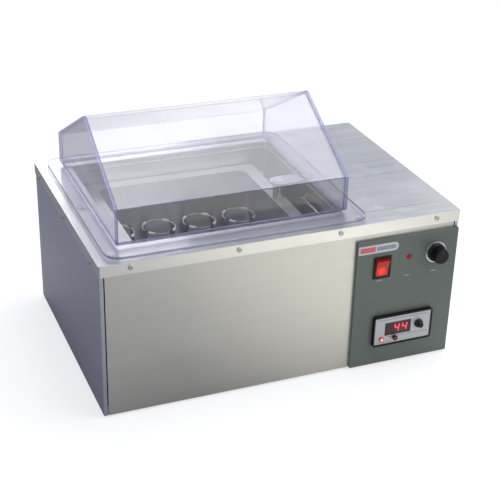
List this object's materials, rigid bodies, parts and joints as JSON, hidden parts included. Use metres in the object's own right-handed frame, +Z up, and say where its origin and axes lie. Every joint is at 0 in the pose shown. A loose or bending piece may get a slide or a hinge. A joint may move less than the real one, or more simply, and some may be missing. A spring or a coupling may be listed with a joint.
{
  "type": "shaking water bath",
  "caption": "Bench water bath with a stainless tank, a motor-driven flask carriage that shakes to and fro, a clear gable lid that lifts off, and a control panel at the front.",
  "frame": {"origin": "centre of the footprint at bench level, under the feet", "axes": "+X to the right and along the longest side, +Y from the control side to the back, +Z up"},
  "size_m": [0.5286, 0.403, 0.362],
  "materials": {
    "case_steel": "fine brushed stainless, grain along the sheet",
    "tank_steel": "pickled and brushed stainless, dull",
    "bright_steel": "polished stainless",
    "prong_steel": "blackened spring steel",
    "heater_steel": "heat-dulled stainless sheath",
    "brass": "plain machined brass",
    "panel_paint": "satin grey-green enamel",
    "motor_paint": "satin dark grey paint",
    "crank_steel": "turned steel",
    "matt_black": "matt moulded black",
    "red_lens": "clear red, lit from behind",
    "lit_digits": "lit numeral bars",
    "dark_window": "dark red tinted window",
    "silver_plate": "satin anodised plate",
    "pale_metal_can": "plated can",
    "white_nylon": "natural nylon",
    "red_grip": "moulded grip",
    "board": "glass-epoxy board with parts",
    "mineral_wool": "mineral wool slab",
    "foot_rubber": "moulded rubber",
    "clear_sheet": "clear acrylic sheet, cemented edges"
  },
  "bodies": {
    "chassis": {"base_plate": "case_steel", "left_side_panel": "case_steel", "right_side_panel": "case_steel", "front_panel": "case_steel", "back_panel": "case_steel", "top_cover": "case_steel", "cover_screws": "bright_steel", "feet": "foot_rubber", "tank": "tank_steel", "insulation": "mineral_wool", "heater_element": "heater_steel", "tank_fittings": "brass", "temperature_probe": "bright_steel", "drain_pipe": "bright_steel", "drain_valve": "brass", "guide_rails": "tank_steel", "partition_plate": "tank_steel", "motor_bracket": "tank_steel", "gearbox": "motor_paint", "drive_motor": "motor_paint", "arm_guide": "white_nylon", "control_panel": "panel_paint", "blank_label": "silver_plate", "switch_bezel": "matt_black", "indicator_lamps": "red_lens", "speed_dial": "silver_plate", "speed_potentiometer": "pale_metal_can", "controller_case": "matt_black", "controller_face": "silver_plate", "display_window": "dark_window", "display_digits": "lit_digits", "speed_board": "board", "mains_inlet": "matt_black"},
    "carriage": {"carriage_tray": "tank_steel", "drive_post": "bright_steel", "drive_arm": "tank_steel", "roller_axles": "bright_steel", "clamp_bases": "tank_steel", "clamp_prongs": "prong_steel", "clamp_rings": "bright_steel", "clamp_sleeves": "white_nylon"},
    "roller_front_left": {"roller_front_left": "white_nylon"},
    "roller_front_right": {"roller_front_right": "white_nylon"},
    "roller_back_left": {"roller_back_left": "white_nylon"},
    "roller_back_right": {"roller_back_right": "white_nylon"},
    "crank": {"output_shaft": "bright_steel", "crank_disc": "crank_steel", "crank_bearing": "bright_steel"},
    "rocker": {"mains_rocker": "red_lens"},
    "speed_control": {"speed_knob": "matt_black"},
    "set_control": {"set_knob": "matt_black"},
    "set_key": {"set_button": "matt_black"},
    "fuse_carrier": {"fuse_drawer": "matt_black"},
    "drain_tap": {"drain_ball": "bright_steel", "drain_handle": "red_grip"},
    "lid": {"lid_flange": "clear_sheet", "lid_canopy": "clear_sheet", "lid_left_end": "clear_sheet", "lid_right_end": "clear_sheet", "lid_bumpers": "clear_sheet"}
  },
  "joints": [
    {"name": "carriage_slide", "type": "slide", "parent": "chassis", "child": "carriage", "axis": [1, 0, 0], "range_m": [-0.01, 0.01]},
    {"name": "crank_turn", "type": "hinge", "parent": "chassis", "child": "crank", "pos_m": [0.175, 0.00675, 0.214], "axis": [0, 0, 1], "range_deg": [-90.5, 90.5]},
    {"name": "roller_front_left_turn", "type": "hinge", "parent": "carriage", "child": "roller_front_left", "pos_m": [-0.1685, -0.12225, 0.187], "axis": [0, 1, 0], "range_deg": [-83, 83]},
    {"name": "roller_front_right_turn", "type": "hinge", "parent": "carriage", "child": "roller_front_right", "pos_m": [0.0395, -0.12225, 0.187], "axis": [0, 1, 0], "range_deg": [-83, 83]},
    {"name": "roller_back_left_turn", "type": "hinge", "parent": "carriage", "child": "roller_back_left", "pos_m": [-0.1685, 0.13575, 0.187], "axis": [0, 1, 0], "range_deg": [-83, 83]},
    {"name": "roller_back_right_turn", "type": "hinge", "parent": "carriage", "child": "roller_back_right", "pos_m": [0.0395, 0.13575, 0.187], "axis": [0, 1, 0], "range_deg": [-83, 83]},
    {"name": "mains_rocker_tilt", "type": "hinge", "parent": "chassis", "child": "rocker", "pos_m": [0.1417, -0.17905, 0.1616], "axis": [1, 0, 0], "range_deg": [-16, 0]},
    {"name": "speed_knob_turn", "type": "hinge", "parent": "chassis", "child": "speed_control", "pos_m": [0.2265, -0.19, 0.1713], "axis": [0, 1, 0], "range_deg": [-150, 150]},
    {"name": "set_knob_turn", "type": "hinge", "parent": "chassis", "child": "set_control", "pos_m": [0.2068, -0.19, 0.0615], "axis": [0, 1, 0], "range_deg": [-150, 150]},
    {"name": "set_button_press", "type": "slide", "parent": "chassis", "child": "set_key", "axis": [0, 1, 0], "range_m": [0, 0.0012], "stiffness_N_per_m": 300, "springref_m": -0.0005},
    {"name": "fuse_drawer_slide", "type": "slide", "parent": "chassis", "child": "fuse_carrier", "axis": [0, 1, 0], "range_m": [0, 0.014]},
    {"name": "drain_handle_turn", "type": "hinge", "parent": "chassis", "child": "drain_tap", "pos_m": [-0.136, 0.19025, 0.072], "axis": [0, 0, 1], "range_deg": [0, 90]},
    {"name": "lid_lift", "type": "slide", "parent": "chassis", "child": "lid", "axis": [0, 0, 1], "range_m": [0, 0.18]}
  ],
  "couplings": [
    {"joint": "crank_turn", "follows": "carriage_slide", "rad_per_m": 157},
    {"joint": "roller_front_left_turn", "follows": "carriage_slide", "rad_per_m": 142.86},
    {"joint": "roller_front_right_turn", "follows": "carriage_slide", "rad_per_m": 142.86},
    {"joint": "roller_back_left_turn", "follows": "carriage_slide", "rad_per_m": 142.86},
    {"joint": "roller_back_right_turn", "follows": "carriage_slide", "rad_per_m": 142.86}
  ]
}
